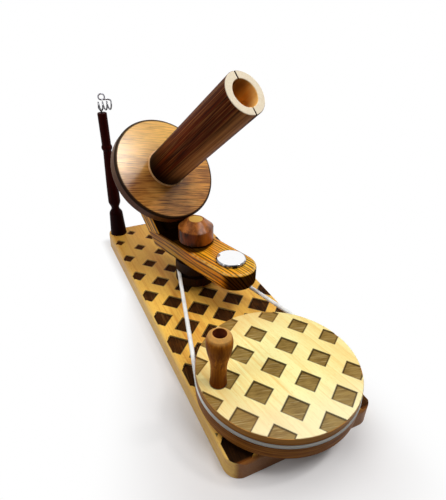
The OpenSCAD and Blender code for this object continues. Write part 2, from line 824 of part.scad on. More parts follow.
// Slanted board that stands on the arm and carries the spindle
module bracket_board() {
    color("peru")
    difference() {
        on_bobbin() intersection() {
            translate([0, 0, bracket_under]) linear_extrude(bracket_t) union() {
                circle(arm_w / 2);
                translate([0, -arm_w / 2]) square([bracket_run(arm_under) + bracket_t, arm_w]);
            }
            rotate([90, 0, 90]) linear_extrude(4 * arm_reach, center = true)
                translate([0, bracket_under]) round_top(arm_w, bracket_t, arm_edge_r / 2);
        }
        on_rotor() translate([seat_in, 0, arm_top]) rotate([0, -seat_slope, 0])
            translate([-4 * arm_reach, -arm_w, -2 * cross_z])
                cube([8 * arm_reach, 2 * arm_w, 2 * cross_z]);
        on_bobbin() {
            hole(bracket_under - past, bracket_top + past, spindle_r + fit);
            hole(bracket_under - past, bracket_under + spindle_nut_t + past, spindle_nut_r + 1);
        }
        bracket_screw_holes();
    }
}

// Holes of the two screws that run up from the arm into the slanted board
module bracket_screw_holes() {
    on_bobbin() for (y = [-bracket_screw_out, bracket_screw_out])
        translate([0, y, bracket_mid]) rotate([0, 90, 0]) {
            hole(bracket_screw_tip - gap, bracket_screw_end, screw_r + fit);
            hole(bracket_screw_seat, bracket_screw_end + 4 * screw_head_r, screw_head_r + fit);
        }
}

module bracket_screws() {
    color("gray")
    on_bobbin() for (y = [-bracket_screw_out, bracket_screw_out])
        translate([bracket_screw_end, y, bracket_mid]) rotate([0, -90, 0])
            screw(bracket_screw_seat - bracket_screw_tip);
}

// Spindle through the slanted board, the collar and the bobbin's two bushes
module bobbin_spindle() {
    color("silver")
    on_bobbin() hole(bracket_under + past, spindle_end, spindle_r);
}

module spindle_nut() {
    color("silver")
    on_bobbin() translate([0, 0, bracket_under + past])
        nut(0, spindle_nut_t, spindle_nut_r, spindle_r + fit);
}

module spindle_collar() {
    color("saddlebrown")
    on_bobbin() ring(bracket_top, thrust_under, collar_r, spindle_r + fit);
}

module thrust_washer() {
    color("gainsboro")
    on_bobbin() ring(thrust_under, thrust_under + thrust_t, collar_r - 1, spindle_r + fit);
}

// Nut that keeps the bobbin on the spindle, deep in the tube
module spindle_lock() {
    color("silver")
    on_bobbin() nut(hub_top + gap, hub_top + gap + spindle_nut_t, lock_r, spindle_r + fit);
}

module bobbin_flange() {
    color("chocolate")
    on_bobbin() difference() {
        rotate_extrude() translate([0, flange_under]) disc_half(flange_r, flange_t, flange_edge_r);
        hole(flange_under - past, flange_top + past, spindle_bush_r + fit);
        hole(flange_top - spigot_l, flange_top + past, spigot_r + fit);
    }
}

// Tube with a spigot in the flange and two yarn slots in its mouth
module bobbin_tube() {
    color("sienna")
    on_bobbin() difference() {
        rotate_extrude() polygon([
            [tube_bore_r, flange_top - spigot_l], [spigot_r, flange_top - spigot_l],
            [spigot_r, flange_top], [tube_r, flange_top], [tube_r, tube_top - 0.6],
            [tube_r - 0.6, tube_top], [tube_bore_r + 0.6, tube_top], [tube_bore_r, tube_top - 0.6]
        ]);
        rotate(slot_turn) translate([-2 * tube_r, -slot_w / 2, tube_top - slot_l])
            cube([4 * tube_r, slot_w, slot_l + past]);
    }
}

module tube_ring() {
    color("bisque")
    on_bobbin() ring(flange_top, flange_top + ring_h, tube_r + fit + ring_w, tube_r + fit);
}

// Plug in the foot of the tube, with a seat for the upper bush
module hub_plug() {
    color("burlywood")
    on_bobbin() difference() {
        hole(flange_top - spigot_l, hub_top, tube_bore_r - fit);
        hole(flange_top - spigot_l - past, hub_top + past, spindle_r + 1);
        hole(hub_top - hub_bush_l, hub_top + past, spindle_bush_r + fit);
    }
}

module flange_bush() {
    color("peru")
    on_bobbin() ring(flange_under, flange_top - spigot_l, spindle_bush_r, spindle_r + run);
}

module hub_bush() {
    color("peru")
    on_bobbin() ring(hub_top - hub_bush_l, hub_top, spindle_bush_r, spindle_r + run);
}

base_board();
wheel_bush();
rotor_shaft();
shaft_nut();
friction_knob();
knob_nut();
knob_plug();
guide_post();
wire_guide();
drive_belt();
crank_wheel();
wheel_axle();
axle_clip();
handle_pin();
handle_washer();
crank_handle();
rotor_arm();
rotor_pulley();
pulley_screws();
lower_bush();
upper_bush();
counterweight();
bracket_board();
bracket_screws();
bobbin_spindle();
spindle_nut();
spindle_collar();
thrust_washer();
spindle_lock();
bobbin_flange();
bobbin_tube();
tube_ring();
hub_plug();
flange_bush();
hub_bush();
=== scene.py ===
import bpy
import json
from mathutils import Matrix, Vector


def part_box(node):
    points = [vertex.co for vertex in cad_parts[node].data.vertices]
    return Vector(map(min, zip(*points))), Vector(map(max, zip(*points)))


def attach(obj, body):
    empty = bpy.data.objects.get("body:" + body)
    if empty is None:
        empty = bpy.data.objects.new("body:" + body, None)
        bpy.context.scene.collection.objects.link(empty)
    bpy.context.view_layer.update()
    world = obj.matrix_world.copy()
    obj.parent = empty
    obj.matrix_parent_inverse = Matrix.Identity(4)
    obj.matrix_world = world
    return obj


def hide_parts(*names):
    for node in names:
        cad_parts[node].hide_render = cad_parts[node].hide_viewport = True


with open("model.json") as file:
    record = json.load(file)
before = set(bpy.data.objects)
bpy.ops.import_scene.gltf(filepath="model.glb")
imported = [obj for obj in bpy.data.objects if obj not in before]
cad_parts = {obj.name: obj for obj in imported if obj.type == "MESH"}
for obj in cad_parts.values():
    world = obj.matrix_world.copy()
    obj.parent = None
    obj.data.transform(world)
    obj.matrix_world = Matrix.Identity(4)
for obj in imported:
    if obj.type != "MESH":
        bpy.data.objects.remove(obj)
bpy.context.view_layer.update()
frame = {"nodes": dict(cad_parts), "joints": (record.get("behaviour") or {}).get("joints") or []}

import json
import math

import bpy
from mathutils import Matrix, Vector

MM = 0.001
UP = Vector((0, 0, 1))
nodes = frame["nodes"]
joints = {j["name"]: j for j in frame["joints"]}
scene = bpy.context.scene

# ---------------------------------------------------------------- frames of the parts
rotor_pos = Vector(joints["rotor_spin"]["pos_m"])
bobbin_pos = Vector(joints["bobbin_spin"]["pos_m"])
bobbin_axis = Vector(joints["bobbin_spin"]["axis"]).normalized()
wheel_pos = Vector(joints["crank_spin"]["pos_m"])
handle_pos = Vector(joints["handle_spin"]["pos_m"])

# along the arm towards the counterweight, across the arm, and down the slanted board
flat = Vector((bobbin_axis.x, bobbin_axis.y, 0)).normalized()
across = Vector((-flat.y, flat.x, 0))
down = across.cross(bobbin_axis)


def frame_matrix(x, y, z):
    """A rotation whose columns are these three directions."""
    return Matrix((x, y, z)).transposed()


def turn_z(angle):
    return Matrix.Rotation(angle, 3, "Z")


def reach_along(node, origin, axis):
    """How far a node goes from a point along an axis, in metres."""
    return max((v.co - origin).dot(axis) for v in nodes[node].data.vertices)


def top_of(node):
    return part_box(node)[1].z


base_low, base_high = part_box("base_board")
base_near, base_far, base_side = base_low.y / MM, base_high.y / MM, base_high.x / MM
base_top = base_high.z
wheel_top = top_of("crank_wheel")
flange_top = reach_along("bobbin_flange", bobbin_pos, bobbin_axis)
tube_top = reach_along("bobbin_tube", bobbin_pos, bobbin_axis)
flange_middle = bobbin_pos + bobbin_axis * flange_top

arm_frame = frame_matrix(flat, across, UP)
board_frame = frame_matrix(down, across, bobbin_axis)
tube_frame = frame_matrix(bobbin_axis, across, down)
knob_frame = frame_matrix(UP, flat, across)
upright_frame = frame_matrix(UP, Vector((1, 0, 0)), Vector((0, 1, 0)))


# ---------------------------------------------------------------- material building
class Nodes:
    """A node tree. Most calls add a node and give back its output."""

    def __init__(self, tree):
        self.tree = tree
        tree.nodes.clear()

    def put(self, socket, value):
        """Links an output to a socket, or sets the socket's own value."""
        if isinstance(value, bpy.types.NodeSocket):
            self.tree.links.new(value, socket)
        elif socket.type == "RGBA" and len(value) == 3:
            socket.default_value = (*value, 1)
        else:
            socket.default_value = value

    def make(self, kind, inputs, **props):
        n = self.tree.nodes.new("ShaderNode" + kind)
        for key, value in props.items():
            setattr(n, key, value)
        for key, value in inputs.items():
            self.put(n.inputs[key], value)
        return n

    def node(self, kind, inputs, output=0, **props):
        return self.make(kind, inputs, **props).outputs[output]

    def place(self, origin, rotation=None):
        """Object coordinates in millimetres, in a frame with this origin and rotation matrix."""
        euler = (rotation or Matrix.Identity(3)).to_euler()
        inputs = {"Vector": self.node("TexCoord", {}, "Object"), "Location": tuple(origin),
                  "Rotation": tuple(euler), "Scale": (MM, MM, MM)}
        return self.node("Mapping", inputs, vector_type="TEXTURE")

    def normal(self):
        return self.node("TexCoord", {}, "Normal")

    def stretch(self, vec, factors):
        return self.node("VectorMath", {0: vec, 1: factors}, operation="MULTIPLY")

    def shift(self, vec, by):
        return self.node("VectorMath", {0: vec, 1: by}, operation="ADD")

    def dot(self, vec, way):
        return self.node("VectorMath", {0: vec, 1: tuple(way)}, "Value", operation="DOT_PRODUCT")

    def length(self, vec):
        return self.node("VectorMath", {0: vec}, "Value", operation="LENGTH")

    def parts(self, vec):
        return tuple(self.make("SeparateXYZ", {0: vec}).outputs)

    def join(self, x, y, z):
        return self.node("CombineXYZ", {0: x, 1: y, 2: z})

    def radius(self, a, b):
        return self.length(self.join(a, b, 0.0))

    def math(self, op, a, b=0.0):
        return self.node("Math", {0: a, 1: b}, operation=op)

    def add(self, first, *others):
        for v in others:
            first = self.math("ADD", first, v)
        return first

    def mul(self, first, *others):
        for v in others:
            first = self.math("MULTIPLY", first, v)
        return first

    def sub(self, a, b):
        return self.math("SUBTRACT", a, b)

    def div(self, a, b):
        return self.math("DIVIDE", a, b)

    def most(self, a, b):
        return self.math("MAXIMUM", a, b)

    def clamp(self, v):
        return self.math("MINIMUM", self.most(v, 0.0), 1.0)

    def swing(self, noise, amount):
        """A noise from 0 to 1, moved to swing about 0 over this amount."""
        return self.mul(self.sub(noise, 0.5), amount)

    def noise(self, vec, scale=1.0, detail=2.0, rough=0.5):
        return self.node("TexNoise", {"Vector": vec, "Scale": scale, "Detail": detail, "Roughness": rough})

    def grain(self, vec, along, crosswise, detail=2.0, rough=0.5):
        """Noise drawn out along x: how often it changes along the grain and across it, per millimetre."""
        return self.noise(self.stretch(vec, (along, crosswise, crosswise)), 1.0, detail, rough)

    def remap(self, value, low, high, to_low=0.0, to_high=1.0, smooth=False):
        inputs = {"Value": value, "From Min": low, "From Max": high, "To Min": to_low, "To Max": to_high}
        return self.node("MapRange", inputs, interpolation_type="SMOOTHSTEP" if smooth else "LINEAR")

    def mix(self, fac, a, b):
        return self.node("Mix", {0: fac, 6: a, 7: b}, 2, data_type="RGBA")

    def ramp(self, fac, stops):
        """Grey levels along a ramp; each stop is a place and a level."""
        n = self.make("ValToRGB", {0: fac})
        steps = n.color_ramp.elements
        while len(steps) < len(stops):
            steps.new(0.5)
        for step, (place, level) in zip(steps, stops):
            step.position = place
            step.color = (level, level, level, 1)
        return n.outputs[0]


class Graph(Nodes):
    """One procedural material round a Principled shader."""

    def __init__(self, name):
        self.mat = bpy.data.materials.new(name)
        self.mat.use_nodes = True
        super().__init__(self.mat.node_tree)
        self.end = self.tree.nodes.new("ShaderNodeOutputMaterial")
        self.bsdf = self.tree.nodes.new("ShaderNodeBsdfPrincipled")
        self.tree.links.new(self.bsdf.outputs[0], self.end.inputs["Surface"])

    def shade(self, **inputs):
        """Sets the shader's sockets; an underscore stands for a space in a socket's name."""
        for key, value in inputs.items():
            self.put(self.bsdf.inputs[key.replace("_", " ")], value)

    def bump(self, height, strength, distance):
        inputs = {"Height": height, "Strength": strength, "Distance": distance * MM}
        self.shade(Normal=self.node("Bump", inputs))


def lin(r, g, b):
    """A colour on the usual 0 to 255 scale, as the shader wants it."""
    return tuple(c / 255 / 12.92 if c <= 10 else ((c / 255 + 0.055) / 1.055) ** 2.4 for c in (r, g, b))


def darker(colour, factor):
    return tuple(c * factor for c in colour)


def paint(node, g):
    """Gives a CAD node this material."""
    mesh = nodes[node].data
    mesh.materials.clear()
    mesh.materials.append(g.mat)


# ---------------------------------------------------------------- woods
# a growth ring: early wood that deepens slowly, a dark line of late wood, and a sharp end
RING_STOPS = [(0.0, 0.1), (0.62, 0.55), (0.86, 1), (0.97, 0.15)]
# one step of the striped wood: a pale part, then a dark stripe
STRIPE_STOPS = [(0.0, 0), (0.56, 0), (0.74, 1), (0.88, 1), (1.0, 0)]
# height of the fibres in a bump, where a pore is 1 deep
FIBRE_HEIGHT = 0.6


def wood(g, p, early, late, pith, ring, ring_mix, wobble, fibre, fibre_fine, pores, tone):
    """Wood with its grain along x: growth rings round a pith line, fibres, pores and broad tone.
    Gives the colour, the height for a bump, and the fibres."""
    sway = g.swing(g.grain(p, 0.006, 0.03), 2 * wobble)
    y, z = g.parts(p)[1:]
    ray = g.radius(g.add(g.sub(y, pith[0]), sway), g.sub(z, pith[1]))
    width = g.add(ray, g.mul(g.grain(p, 0.002, 0.12, 1.0), ring))
    band = g.ramp(g.math("FRACT", g.div(width, ring)), RING_STOPS)
    fine = g.grain(p, 0.03, fibre_fine, 3.0, 0.6)
    dash = g.remap(g.grain(p, 0.16, 3.2, 1.0), 0.62, 0.78)
    broad = g.grain(p, 0.012, 0.05)
    mixed = g.add(g.mul(band, ring_mix), g.swing(fine, 2 * fibre), g.mul(dash, pores),
                  g.swing(broad, 2 * tone))
    return g.mix(g.clamp(mixed), early, late), g.sub(g.mul(fine, FIBRE_HEIGHT), dash), fine


def finish_wood(g, colour, height, fine, rough):
    """Colour, a roughness that follows the fibres, and a low bump."""
    g.shade(Base_Color=colour, Roughness=g.remap(fine, 0.3, 0.75, rough - 0.06, rough + 0.1))
    g.bump(height, strength=0.2, distance=0.12)


def plain_wood(name, origin, rotation, early, late, pith, ring, rough, coat=0.0, coat_rough=0.15, shine=0.2,
               **more):
    """Plain wood with its grain along x of this frame. Gives the graph, the frame and the colour."""
    g = Graph(name)
    g.shade(Specular_IOR_Level=shine)
    p = g.place(origin, rotation)
    colour, height, fine = wood(g, p, early, late, pith, ring, **more)
    if coat:
        g.shade(Coat_Weight=coat, Coat_Roughness=coat_rough)
    finish_wood(g, colour, height, fine, rough)
    return g, p, colour


def striped_wood(name, origin, rotation, lean, spacing, gold, amber, dark, rough, coat, seed, faintest):
    """Wood with long dark stripes along x. lean is the way the layers slope across y and z, and
    faintest is the strength of the weakest stripe. Gives the graph, the frame and the colour."""
    g = Graph(name)
    g.shade(Specular_IOR_Level=0.15, Coat_Weight=coat, Coat_Roughness=0.16)
    p = g.place(origin, rotation)
    x, y, z = g.parts(p)
    sway = g.swing(g.grain(p, 0.010, 0.03, 1.0), 4.0)
    layer = g.add(g.mul(y, lean[0]), g.mul(z, lean[1]), sway)
    drift = g.noise(g.join(g.mul(x, 0.007), g.mul(layer, 0.10), 0.0))
    lines = g.ramp(g.math("FRACT", g.add(g.div(layer, spacing), g.mul(drift, 3.0))), STRIPE_STOPS)
    bold = g.noise(g.join(g.mul(x, 0.012), g.div(layer, 2 * spacing), seed), detail=1.0)
    thin = g.noise(g.join(g.mul(x, 0.02), g.div(layer, spacing * 0.55), 3.0), detail=1.0)
    fine = g.grain(p, 0.04, 2.0, 3.0, 0.6)
    dash = g.remap(g.grain(p, 0.16, 3.0, 1.0), 0.60, 0.74)
    ground = g.mix(g.remap(g.grain(p, 0.02, 0.06), 0.3, 0.7), gold, amber)
    band = g.most(g.mul(lines, g.remap(bold, 0.36, 0.56, faintest, 1.0)),
                  g.mul(g.remap(thin, 0.57, 0.63), 0.45))
    colour = g.mix(g.clamp(g.add(band, g.swing(fine, 0.5), g.mul(dash, 0.3))), ground, dark)
    finish_wood(g, colour, g.sub(g.mul(fine, FIBRE_HEIGHT), dash), fine, rough)
    return g, p, colour


# ---------------------------------------------------------------- board and wheel with sunk squares
# Sizes of the sunk squares, in millimetres, as the CAD model has them
PITCH, DEPTH = 27.2, 0.9
FAR_SIDE, NEAR_SIDE = 6.3, 23.9
WHEEL_SIDE, WHEEL_SHRINK = 14.8, 1.8
BASE_SQUARE = Vector((-55.6, 138.6, 0)) * MM
WHEEL_SQUARE = Vector((39.3, 31.5, 0)) * MM
BASE_TURN, WHEEL_TURN = math.radians(45), math.radians(-53.7)
WHEEL_R = 63.6
# A point this far under the top is in a square, and this far under a square's floor it no longer is
SKIN, FLOOR_SLACK = 0.06, 0.15
# How soft the burnt border's edge is, and how the cutter's lines are turned from the grid
BORDER_SOFT, CUTTER_TURN = 0.15, math.radians(38)


def lattice(g, origin, turn, sides):
    """How far a point is inside the nearest square of a turned grid, in millimetres.
    sides holds a direction and two places along it, each with the side that the squares have there."""
    x, y = g.parts(g.place(origin, turn_z(turn)))[:2]

    def centre(v):
        return g.mul(g.math("FLOOR", g.add(g.div(v, PITCH), 0.5)), PITCH)

    cx, cy = centre(x), centre(y)
    off = g.most(g.math("ABSOLUTE", g.sub(x, cx)), g.math("ABSOLUTE", g.sub(y, cy)))
    (dx, dy), (place, side), (place2, side2) = sides
    start = (origin.x * dx + origin.y * dy) / MM
    along = g.add(g.mul(cx, dx * math.cos(turn) + dy * math.sin(turn)),
                  g.mul(cy, dy * math.cos(turn) - dx * math.sin(turn)))
    half = g.remap(along, place - start, place2 - start, side / 2, side2 / 2)
    return g.sub(half, off)


def lattice_wood(name, grain, squares, turn, top, early, late, burn_dark, burn_light, pith, rough, sides,
                 scratches, scratched, border):
    """Pale beech with dark sunk squares, burnt at their edges.
    Gives the graph, its grain frame, the colour and where the squares are."""
    g = Graph(name)
    p = g.place((0, 0, 0), turn_z(grain) @ turn_z(math.pi / 2))
    colour, height, fine = wood(g, p, early, late, pith, ring=6.5, ring_mix=0.36, wobble=12.0, fibre=0.45,
                                fibre_fine=1.0, pores=0.4, tone=0.5)
    # the short dark flecks of beech, and long veins
    fleck = g.remap(g.grain(p, 0.30, 1.5, 0.0), 0.64, 0.76)
    colour = g.mix(g.mul(fleck, 0.4), colour, late)
    vein = g.remap(g.grain(p, 0.006, 0.30, 3.0, 0.6), 0.56, 0.70)
    colour = g.mix(g.mul(vein, 0.55), colour, late)
    z = g.parts(g.place((0, 0, top)))[2]
    inside = lattice(g, squares, turn, sides)
    on_top = g.math("GREATER_THAN", z, -SKIN)
    sunk = g.mul(g.remap(inside, -SKIN, 0.02), g.math("LESS_THAN", z, -SKIN),
                 g.math("GREATER_THAN", z, -DEPTH - FLOOR_SLACK))
    # floor of a square: grain shows through the burn, with fine lines and scratches of the cutter
    q = g.place((0, 0, 0), turn_z(turn + CUTTER_TURN))
    streak = g.grain(q, 0.06, 0.9, 3.0, 0.65)
    line = g.grain(p, 2.2, 0.06, 1.0)
    patch = g.noise(p, 0.10)
    fac = g.add(g.mul(streak, 0.75), g.mul(line, 0.25), g.swing(patch, 0.6))
    floor = g.mix(g.remap(fac, 0.30, 0.70), burn_dark, burn_light)
    scratch = g.remap(g.grain(q, 0.035, 1.6, 1.0), 0.60, 0.72)
    floor = g.mix(g.mul(scratch, scratches), floor, scratched)
    floor = g.mix(g.remap(inside, 0.15, 1.5, smooth=True), darker(burn_dark, 0.30), floor)
    # on the top round each square, a faint scorch and a burnt border
    scorch = g.mul(g.remap(inside, -0.9, 0.0, smooth=True), on_top)
    colour = g.mix(g.mul(scorch, 0.30), colour, burn_light)
    charred = g.mul(g.remap(inside, -border - BORDER_SOFT, -border + BORDER_SOFT), on_top)
    colour = g.mix(g.mul(charred, 0.92), colour, darker(burn_dark, 0.5))
    colour = g.mix(sunk, colour, floor)
    roughness = g.remap(g.add(fine, g.mul(sunk, 0.6)), 0.3, 1.2, rough, rough + 0.35)
    # an export drops a level that is linked, so the socket has a plain one too
    g.shade(Base_Color=colour, Roughness=roughness, Specular_IOR_Level=0.2)
    g.shade(Specular_IOR_Level=g.remap(sunk, 0.0, 1.0, 0.30, 0.05))
    g.bump(g.add(g.mul(height, 0.5), g.mul(sunk, g.mul(streak, 1.6))), strength=0.35, distance=0.25)
    return g, p, colour, sunk


g, p, colour, sunk = lattice_wood(
    "beech_base", grain=0.0, squares=BASE_SQUARE, turn=BASE_TURN, top=base_top,
    early=lin(250, 198, 86), late=lin(206, 116, 24), burn_dark=lin(24, 8, 0), burn_light=lin(84, 46, 10),
    pith=(30, -160), rough=0.38, sides=((0, 1), (base_far, FAR_SIDE), (base_near, NEAR_SIDE)),
    scratches=0.5, scratched=lin(158, 110, 56), border=0.65)
x, y = g.parts(g.place((0, 0, base_top)))[:2]
# the colour is deeper towards the far end: painted shade under the flange and beside the post
colour = g.mix(g.remap(y, 0.0, 150.0, 0.0, 0.28, smooth=True), colour, lin(176, 96, 10))
# painted shade: the squares are darkest at the far end, and at the near left corner under the wheel's shadow
wheel_shadow_corner = g.mul(g.remap(y, base_near + 42.0, base_near + 24.0), g.remap(x, -10.0, -30.0))
square_shade = g.most(g.mul(wheel_shadow_corner, 0.75), g.remap(y, -60.0, 110.0, 0.0, 0.7))
colour = g.mix(g.mul(sunk, square_shade), colour, lin(12, 4, 0))
# the long sides and their rounded edges are paler as a painted highlight, and the ends show end grain
end = g.most(g.remap(y, base_far - 3.4, base_far - 1.2), g.remap(y, base_near + 3.4, base_near + 1.2))
upward = g.parts(g.normal())[2]
edge_highlight = g.mul(g.remap(upward, 0.97, 0.6, 0.0, 0.35), g.remap(end, 0.0, 1.0, 1.0, 0.0))
colour = g.mix(edge_highlight, colour, lin(252, 212, 132))
end_grain = g.mix(g.noise(g.stretch(p, (2.0, 0.5, 0.9))), lin(156, 92, 36), lin(110, 58, 20))
g.shade(Base_Color=g.mix(g.mul(end, 0.92), colour, end_grain))
paint("base_board", g)

to_right = (-math.sin(WHEEL_TURN), math.cos(WHEEL_TURN))
hub = (wheel_pos.x * to_right[0] + wheel_pos.y * to_right[1]) / MM
wheel_sides = (to_right, (hub - 2 * WHEEL_R, WHEEL_SIDE + 2 * WHEEL_SHRINK),
               (hub + 2 * WHEEL_R, WHEEL_SIDE - 2 * WHEEL_SHRINK))
wheel_floor = Vector((wheel_pos.x, wheel_pos.y, 0))
g, p, colour, sunk = lattice_wood(
    "beech_wheel", grain=math.radians(10), squares=WHEEL_SQUARE + wheel_floor, turn=WHEEL_TURN, top=wheel_top,
    early=lin(254, 244, 170), late=lin(242, 196, 98), burn_dark=lin(112, 85, 38),
    burn_light=lin(156, 128, 68), pith=(-25, 130), rough=0.34, sides=wheel_sides,
    scratches=0.45, scratched=lin(226, 206, 150), border=0.3)
x, y, z = g.parts(g.place((wheel_pos.x, wheel_pos.y, wheel_top)))
radius = g.radius(x, y)
# the turned rim is darker, with the lines of the lathe, and painted light on its upper part
rim = g.mul(g.remap(radius, WHEEL_R - 0.7, WHEEL_R - 0.25), g.remap(z, -0.15, -0.6))
rim = g.most(rim, g.remap(z, -1.3, -1.9))
lathe = g.noise(g.stretch(g.join(x, y, z), (0.03, 0.03, 1.6)))
turned_and_lit = g.mix(g.remap(lathe, 0.35, 0.68), lin(172, 110, 44), lin(98, 50, 14))
# painted light: the rim is paler towards its top
turned_and_lit = g.mix(g.remap(z, -7.0, -3.0, 0.0, 0.45), turned_and_lit, lin(206, 150, 78))
# the top is warmer on one side, and paler towards the crank's end as painted light
one_side = g.remap(g.sub(g.mul(y, 0.43), g.mul(x, 0.90)), -30.0, 45.0, 0.25, 1.0, smooth=True)
uneven = g.remap(g.grain(p, 0.010, 0.035), 0.40, 0.60, 0.35, 1.0)
warm = g.mul(one_side, g.remap(radius, 30.0, 60.0, smooth=True), uneven)
colour = g.mix(g.mul(warm, g.remap(sunk, 0.0, 1.0, 0.55, 0.15)), colour, lin(228, 150, 58))
# painted light: paler towards the crank's end, less so in the squares
lit_near_end = g.remap(g.sub(g.mul(x, -0.15), y), 8.0, 62.0, 0.0, 0.45, smooth=True)
colour = g.mix(g.mul(lit_near_end, g.remap(sunk, 0.0, 1.0, 1.0, 0.12)), colour, lin(255, 252, 218))
g.shade(Base_Color=g.mix(rim, colour, turned_and_lit),
        Specular_IOR_Level=g.remap(g.most(rim, sunk), 0.0, 1.0, 0.25, 0.04))
paint("crank_wheel", g)


# ---------------------------------------------------------------- the other wooden parts
# Arm: striped, with painted shadow round the knob and under the slanted board, and a dark near end of end
# grain deepened by painted shade
g, p, colour = striped_wood(
    "striped_arm", rotor_pos, arm_frame, lean=(0.80, 0.48), spacing=2.4, gold=lin(255, 192, 50),
    amber=lin(250, 142, 12), dark=lin(26, 5, 0), rough=0.32, coat=0.07, seed=5.0, faintest=0.85)
px, py = g.parts(p)[:2]
arm_end = reach_along("rotor_arm", rotor_pos, flat) / MM
upward = g.parts(g.normal())[2]
# the near end: dark end grain, deepened as painted shade
end_grain_shade = g.mul(g.remap(upward, 0.55, 0.15, smooth=True),
                g.remap(px, arm_end - 20.0, arm_end - 10.0, smooth=True))
# painted shadow of the knob, the flange and the slanted board on the arm's top
shadow_reach = g.remap(py, 5.0, -17.0, 19.5, 26.5, smooth=True)
painted_shadow = g.remap(g.div(g.radius(px, py), shadow_reach), 1.0, 0.84, 0.0, 0.9, smooth=True)
painted_shadow = g.most(g.remap(px, 6.0, -16.0, smooth=True), painted_shadow)
painted_shadow = g.mul(painted_shadow, g.remap(upward, 0.3, 0.8, 0.0, 0.98))
colour = g.mix(g.remap(painted_shadow, 0.0, 0.5, 0.0, 0.7), colour, lin(92, 38, 4))
colour = g.mix(g.remap(painted_shadow, 0.25, 0.98, 0.0, 0.985), colour, lin(13, 2, 0))
# painted shade on the arm's sides towards the slanted board
side_shade = g.mul(g.remap(upward, 0.6, 0.3), g.remap(px, 34.0, -6.0, 0.0, 0.4, smooth=True))
colour = g.mix(side_shade, colour, lin(58, 20, 2))
# a painted highlight makes its rounded edges pale in places
edge_highlight = g.mul(g.remap(upward, 0.20, 0.50), g.remap(upward, 0.96, 0.80),
               g.remap(g.noise(p, 0.25), 0.40, 0.65, 0.1, 0.65), g.remap(px, 10.0, 26.0, smooth=True))
colour = g.mix(edge_highlight, colour, lin(255, 212, 116))
shade_and_end = g.most(painted_shadow, end_grain_shade)
g.shade(Base_Color=g.mix(g.mul(end_grain_shade, 0.95), colour, lin(14, 4, 1)),
        Coat_Weight=g.remap(shade_and_end, 0.0, 0.8, 0.07, 0.0),
        Specular_IOR_Level=g.remap(shade_and_end, 0.0, 0.8, 0.12, 0.0))
paint("rotor_arm", g)

# Slanted board: striped at its edges, with painted shadow on the face under the flange
g, p, colour = striped_wood(
    "striped_board", bobbin_pos, board_frame, lean=(0.20, 0.98), spacing=4.8, gold=lin(252, 184, 58),
    amber=lin(236, 134, 14), dark=lin(16, 4, 0), rough=0.34, coat=0.1, seed=2.3, faintest=0.8)
# painted shadow: the face under the flange is near black
flange_shadow = g.remap(g.dot(g.normal(), bobbin_axis), 0.6, 0.9, 0.0, 0.985)
g.shade(Base_Color=g.mix(flange_shadow, colour, lin(14, 3, 0)),
        Coat_Weight=g.remap(flange_shadow, 0.0, 0.9, 0.1, 0.0),
        Specular_IOR_Level=g.remap(flange_shadow, 0.0, 0.9, 0.12, 0.0))
paint("bracket_board", g)

# Flange: streaked and polished; its grain crosses the slope at an angle
FLANGE_GRAIN = math.radians(17)
FLANGE_RIM, SHADE_LINE, SHADE_LINE_LEVEL = (52.1, 53.3), (50.9, 51.9), (-2.8, -1.8)
SHADOW_BACK, SHADOW_SHAPE = (32.0, 18.0, 0.0), (0.85, 1.15, 0.0)
PALE_MOST = 0.75
grain = across * math.cos(FLANGE_GRAIN) + down * math.sin(FLANGE_GRAIN)
g, p, colour = plain_wood(
    "flange_wood", flange_middle, frame_matrix(grain, bobbin_axis.cross(grain), bobbin_axis),
    early=lin(230, 156, 68), late=lin(112, 48, 4), pith=(10, -90), ring=7.0, rough=0.42, coat=0.6,
    coat_rough=0.18, shine=0.08, ring_mix=0.25, wobble=3.0, fibre=0.5, fibre_fine=0.8, pores=0.4, tone=0.35)
px, py, pz = g.parts(p)
radius = g.radius(px, py)
# one half is paler, and the fine dark lines are weaker there
pale = g.remap(g.add(g.mul(px, -0.35), py), -20.0, 34.0, 0.0, PALE_MOST, smooth=True)
colour = g.mix(pale, colour, lin(252, 196, 92))
lines = g.remap(g.grain(p, 0.034, 1.15, 3.0, 0.65), 0.44, 0.62)
colour = g.mix(g.mul(lines, g.remap(pale, 0.0, PALE_MOST, 0.95, 0.40)), colour, lin(62, 17, 0))
# darker round the tube, with dark and pale blotches and one broad painted shadow of the tube
colour = g.mix(g.remap(radius, 18.0, 34.0, 0.40, 0.0, smooth=True), colour, lin(84, 30, 2))
blotch = g.grain(p, 0.03, 0.085)
colour = g.mix(g.remap(blotch, 0.52, 0.68, 0.0, 0.40), colour, lin(92, 36, 3))
colour = g.mix(g.remap(blotch, 0.46, 0.32, 0.0, 0.45), colour, lin(240, 176, 92))
# painted shadow of the tube, below and beside its foot
from_tube_shadow = g.length(g.stretch(g.shift(p, SHADOW_BACK), SHADOW_SHAPE))
colour = g.mix(g.remap(from_tube_shadow, 30.0, 5.0, 0.0, 0.55, smooth=True), colour, lin(86, 30, 2))
# dark rim, its colour deepened as painted shade, with a line of painted shade just inside it
rim = g.remap(radius, *FLANGE_RIM, smooth=True)
shade_line = g.mul(g.remap(radius, *SHADE_LINE, smooth=True), g.remap(pz, *SHADE_LINE_LEVEL))
colour = g.mix(g.mul(rim, 0.9), colour, lin(66, 26, 8))
g.shade(Base_Color=g.mix(g.mul(shade_line, 0.92), colour, lin(20, 6, 0)),
        Coat_Weight=g.remap(g.most(rim, shade_line), 0.0, 1.0, 0.6, 0.02))
paint("bobbin_flange", g)

